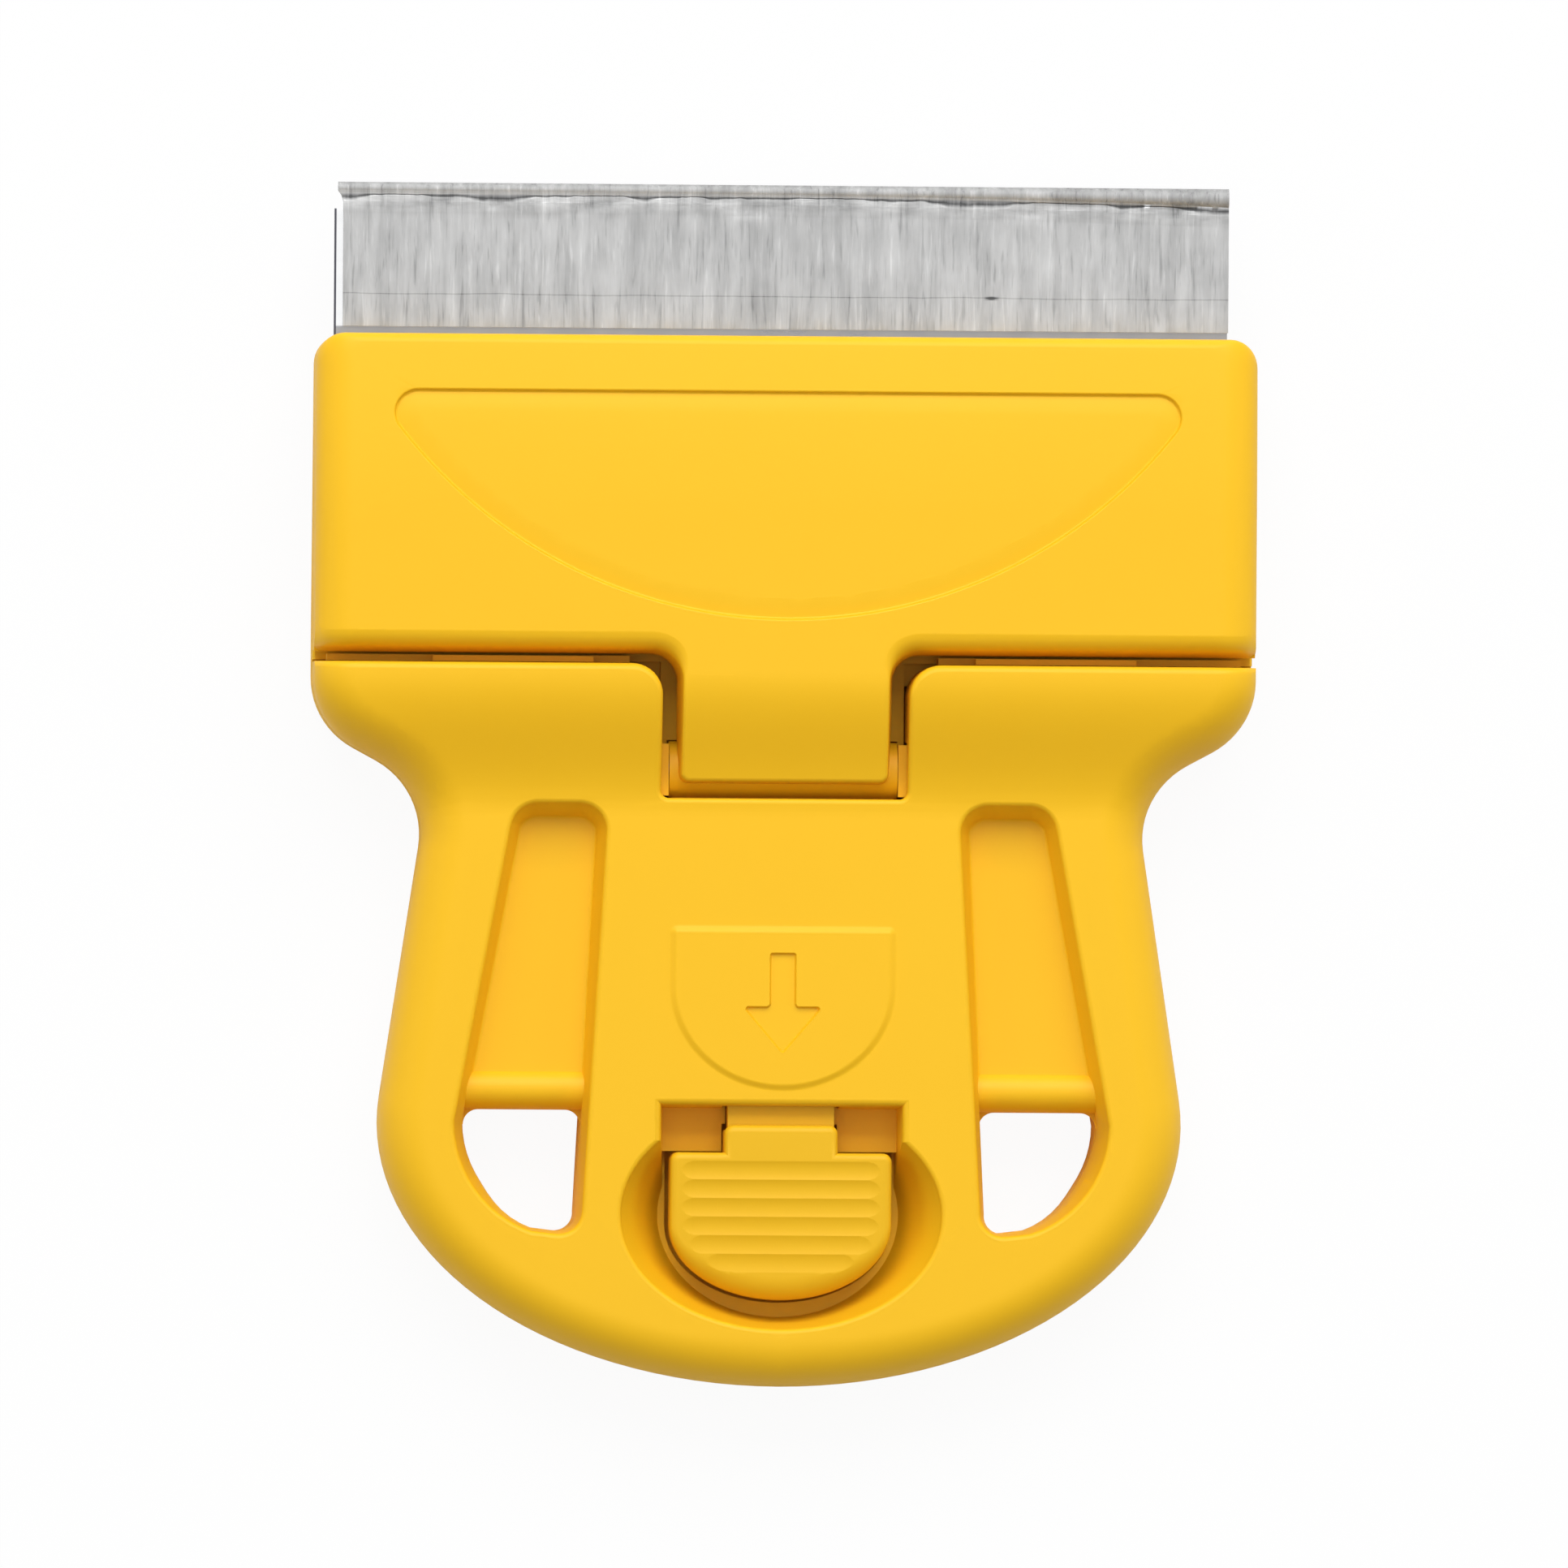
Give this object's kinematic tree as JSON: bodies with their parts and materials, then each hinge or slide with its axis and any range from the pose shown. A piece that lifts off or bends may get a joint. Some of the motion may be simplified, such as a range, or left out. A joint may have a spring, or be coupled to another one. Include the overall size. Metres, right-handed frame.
{
  "type": "glass scraper",
  "caption": "Flat moulded hand scraper: a press button opens a spring-closed jaw that grips a wide thin blade under a folded edge guard.",
  "frame": {"origin": "middle of the bounding box's bottom, so the tool lies on its flat back with the button face up", "axes": "+X across the tool to the right as seen from the button face, +Y from the handle's end to the blade, +Z out of the button face"},
  "size_m": [0.1054, 0.1346, 0.0195],
  "materials": {
    "yellow_plastic": "satin moulded plastic",
    "polished_steel": "polished",
    "guard_sheet": "dull thin sheet with fine creases"
  },
  "bodies": {
    "handle": {"rear_shell": "yellow_plastic", "front_shell": "yellow_plastic", "hinge_pin": "polished_steel", "closing_spring": "polished_steel", "shell_screw_1": "polished_steel", "shell_screw_2": "polished_steel", "shell_screw_3": "polished_steel", "shell_screw_4": "polished_steel"},
    "jaw": {"clamp_jaw": "yellow_plastic", "press_button": "yellow_plastic"},
    "blade": {"blade": "polished_steel"},
    "guard": {"edge_guard": "guard_sheet"}
  },
  "joints": [
    {"name": "clamp_hinge", "type": "hinge", "parent": "handle", "child": "jaw", "pos_m": [0, 0.0017, 0.01], "axis": [1, 0, 0], "range_deg": [0, 5.5], "stiffness_Nm_per_rad": 1, "springref_deg": -14.32, "deforming": ["closing_spring"]},
    {"name": "blade_slide", "type": "slide", "parent": "handle", "child": "blade", "axis": [0, 1, 0], "range_m": [0, 0.014]},
    {"name": "guard_slide", "type": "slide", "parent": "blade", "child": "guard", "axis": [0, 1, 0], "range_m": [0, 0.016]}
  ]
}
